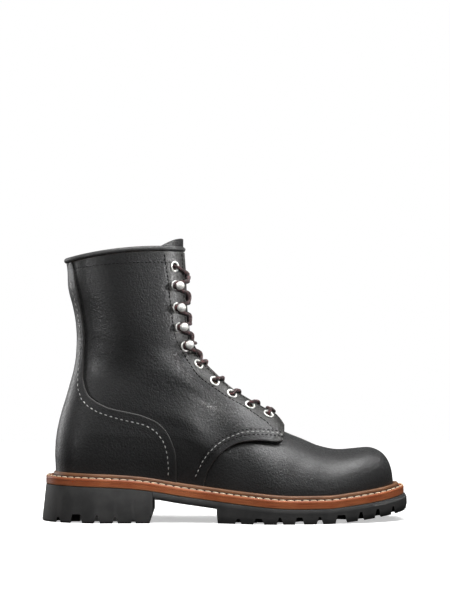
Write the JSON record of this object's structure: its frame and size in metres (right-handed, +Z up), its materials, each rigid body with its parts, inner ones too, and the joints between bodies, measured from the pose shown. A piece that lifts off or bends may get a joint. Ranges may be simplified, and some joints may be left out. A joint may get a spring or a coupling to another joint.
{
  "type": "leather ankle boot",
  "caption": "Right lace-up ankle boot in black leather with a plain round toe, nickel eyelets and ball hooks, tan storm welt, red-brown midsole and lugged rubber sole",
  "frame": {"origin": "middle of the footprint's box on the floor", "axes": "+X to the toe, +Y to the inner side, +Z up"},
  "size_m": [0.31, 0.1181, 0.2386],
  "materials": {
    "black_leather": "smooth full-grain leather with a soft shine and light creases",
    "black_rubber": "matte dark grey rubber",
    "brown_leather": "burnished red-brown edge",
    "tan_leather": "plain tan edge with cream stitches",
    "insole_leather": "plain, slightly rough",
    "nickel": "polished nickel plate",
    "lace_cord": "braided dark brown cord"
  },
  "bodies": {
    "root": {"outsole": "black_rubber", "heel": "black_rubber", "midsole": "brown_leather", "welt": "tan_leather", "insole": "insole_leather", "upper": "black_leather", "counter": "black_leather", "collar_binding": "black_leather", "tongue": "black_leather", "lace": "lace_cord", "eyelet_outer_1": "nickel", "eyelet_outer_2": "nickel", "eyelet_outer_3": "nickel", "eyelet_outer_4": "nickel", "eyelet_outer_5": "nickel", "eyelet_outer_6": "nickel", "eyelet_inner_1": "nickel", "eyelet_inner_2": "nickel", "eyelet_inner_3": "nickel", "eyelet_inner_4": "nickel", "eyelet_inner_5": "nickel", "eyelet_inner_6": "nickel", "hook_outer_1": "nickel", "hook_outer_2": "nickel", "hook_outer_3": "nickel", "hook_outer_4": "nickel", "hook_inner_1": "nickel", "hook_inner_2": "nickel", "hook_inner_3": "nickel", "hook_inner_4": "nickel"}
  },
  "joints": []
}
